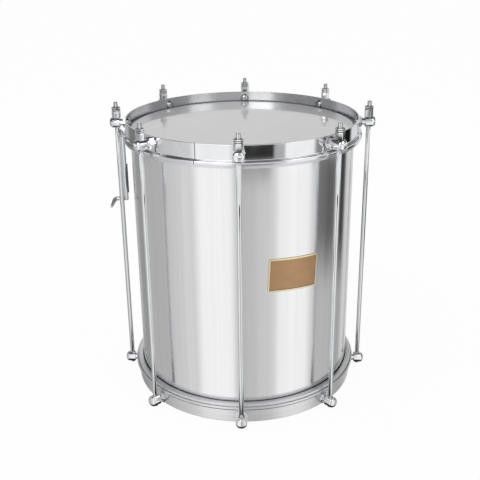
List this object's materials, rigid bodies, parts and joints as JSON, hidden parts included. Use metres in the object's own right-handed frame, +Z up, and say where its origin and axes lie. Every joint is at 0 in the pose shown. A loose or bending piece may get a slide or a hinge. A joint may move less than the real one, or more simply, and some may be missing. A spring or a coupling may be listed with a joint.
{
  "type": "repinique drum",
  "caption": "Slim two-headed metal drum with bent-sheet hoops, long tension rods with nuts on round lugs, a bare shell plate and a wire strap hook.",
  "frame": {"origin": "on the drum's axis, in the plane of the lower hoop's rim that the drum stands on", "axes": "+Z up along the drum's axis towards the batter head, +X towards tension rod 1, rods numbered counter-clockwise seen from above"},
  "size_m": [0.3081, 0.303, 0.3374],
  "materials": {
    "shell_aluminium": "polished sheet, fine lengthwise brushing",
    "head_film": "smooth white polyester film, slightly glossy",
    "flesh_hoop_aluminium": "satin rolled channel",
    "hoop_chrome": "bright chrome plate over steel sheet",
    "lug_chrome": "bright chrome plate over turned steel",
    "screw_steel": "zinc-plated steel",
    "rod_chrome": "bright chrome plate, rolled thread at the ends",
    "nut_chrome": "bright chrome plate over turned hexagon bar",
    "plate_bronze": "satin bronze face with a pale gold rim",
    "hook_wire": "plated spring wire, satin at the tail",
    "sleeve_rubber": "dark rubber tube"
  },
  "bodies": {
    "drum": {"shell": "shell_aluminium", "batter_head": "head_film", "resonant_head": "head_film", "batter_flesh_hoop": "flesh_hoop_aluminium", "resonant_flesh_hoop": "flesh_hoop_aluminium", "resonant_hoop": "hoop_chrome", "plate": "plate_bronze", "resonant_lug_1": "lug_chrome", "resonant_lug_2": "lug_chrome", "resonant_lug_3": "lug_chrome", "resonant_lug_4": "lug_chrome", "resonant_lug_5": "lug_chrome", "resonant_lug_6": "lug_chrome", "resonant_lug_7": "lug_chrome", "resonant_lug_8": "lug_chrome", "resonant_lug_screw_1": "screw_steel", "resonant_lug_screw_2": "screw_steel", "resonant_lug_screw_3": "screw_steel", "resonant_lug_screw_4": "screw_steel", "resonant_lug_screw_5": "screw_steel", "resonant_lug_screw_6": "screw_steel", "resonant_lug_screw_7": "screw_steel", "resonant_lug_screw_8": "screw_steel", "tension_rod_1": "rod_chrome", "tension_rod_2": "rod_chrome", "tension_rod_3": "rod_chrome", "tension_rod_4": "rod_chrome", "tension_rod_5": "rod_chrome", "tension_rod_6": "rod_chrome", "tension_rod_7": "rod_chrome", "tension_rod_8": "rod_chrome"},
    "batter_hoop_set": {"batter_hoop": "hoop_chrome", "batter_lug_1": "lug_chrome", "batter_lug_2": "lug_chrome", "batter_lug_3": "lug_chrome", "batter_lug_4": "lug_chrome", "batter_lug_5": "lug_chrome", "batter_lug_6": "lug_chrome", "batter_lug_7": "lug_chrome", "batter_lug_8": "lug_chrome", "batter_lug_screw_1": "screw_steel", "batter_lug_screw_2": "screw_steel", "batter_lug_screw_3": "screw_steel", "batter_lug_screw_4": "screw_steel", "batter_lug_screw_5": "screw_steel", "batter_lug_screw_6": "screw_steel", "batter_lug_screw_7": "screw_steel", "batter_lug_screw_8": "screw_steel"},
    "nut_1": {"tension_nut_1": "nut_chrome"},
    "nut_2": {"tension_nut_2": "nut_chrome"},
    "nut_3": {"tension_nut_3": "nut_chrome"},
    "nut_4": {"tension_nut_4": "nut_chrome"},
    "nut_5": {"tension_nut_5": "nut_chrome"},
    "nut_6": {"tension_nut_6": "nut_chrome"},
    "nut_7": {"tension_nut_7": "nut_chrome"},
    "nut_8": {"tension_nut_8": "nut_chrome"},
    "hook_set": {"strap_hook": "hook_wire", "strap_hook_sleeve": "sleeve_rubber"}
  },
  "joints": [
    {"name": "hoop_travel", "type": "slide", "parent": "drum", "child": "batter_hoop_set", "axis": [0, 0, 1], "range_m": [0, 0.004]},
    {"name": "nut_1_turn", "type": "hinge", "parent": "batter_hoop_set", "child": "nut_1", "pos_m": [0.1435, 0, 0.3194], "axis": [0, 0, 1], "range_deg": [0, 1440]},
    {"name": "nut_2_turn", "type": "hinge", "parent": "batter_hoop_set", "child": "nut_2", "pos_m": [0.10147, 0.10147, 0.3194], "axis": [0, 0, 1], "range_deg": [0, 1440]},
    {"name": "nut_3_turn", "type": "hinge", "parent": "batter_hoop_set", "child": "nut_3", "pos_m": [0, 0.1435, 0.3194], "axis": [0, 0, 1], "range_deg": [0, 1440]},
    {"name": "nut_4_turn", "type": "hinge", "parent": "batter_hoop_set", "child": "nut_4", "pos_m": [-0.10147, 0.10147, 0.3194], "axis": [0, 0, 1], "range_deg": [0, 1440]},
    {"name": "nut_5_turn", "type": "hinge", "parent": "batter_hoop_set", "child": "nut_5", "pos_m": [-0.1435, 0, 0.3194], "axis": [0, 0, 1], "range_deg": [0, 1440]},
    {"name": "nut_6_turn", "type": "hinge", "parent": "batter_hoop_set", "child": "nut_6", "pos_m": [-0.10147, -0.10147, 0.3194], "axis": [0, 0, 1], "range_deg": [0, 1440]},
    {"name": "nut_7_turn", "type": "hinge", "parent": "batter_hoop_set", "child": "nut_7", "pos_m": [0, -0.1435, 0.3194], "axis": [0, 0, 1], "range_deg": [0, 1440]},
    {"name": "nut_8_turn", "type": "hinge", "parent": "batter_hoop_set", "child": "nut_8", "pos_m": [0.10147, -0.10147, 0.3194], "axis": [0, 0, 1], "range_deg": [0, 1440]},
    {"name": "strap_hook_swing", "type": "hinge", "parent": "drum", "child": "hook_set", "pos_m": [-0.1435, 0, 0.25], "axis": [0, 0, 1], "range_deg": [-180, 60]}
  ],
  "couplings": [
    {"joint": "nut_1_turn", "follows": "hoop_travel", "rad_per_m": 6283.2},
    {"joint": "nut_2_turn", "follows": "hoop_travel", "rad_per_m": 6283.2},
    {"joint": "nut_3_turn", "follows": "hoop_travel", "rad_per_m": 6283.2},
    {"joint": "nut_4_turn", "follows": "hoop_travel", "rad_per_m": 6283.2},
    {"joint": "nut_5_turn", "follows": "hoop_travel", "rad_per_m": 6283.2},
    {"joint": "nut_6_turn", "follows": "hoop_travel", "rad_per_m": 6283.2},
    {"joint": "nut_7_turn", "follows": "hoop_travel", "rad_per_m": 6283.2},
    {"joint": "nut_8_turn", "follows": "hoop_travel", "rad_per_m": 6283.2}
  ]
}
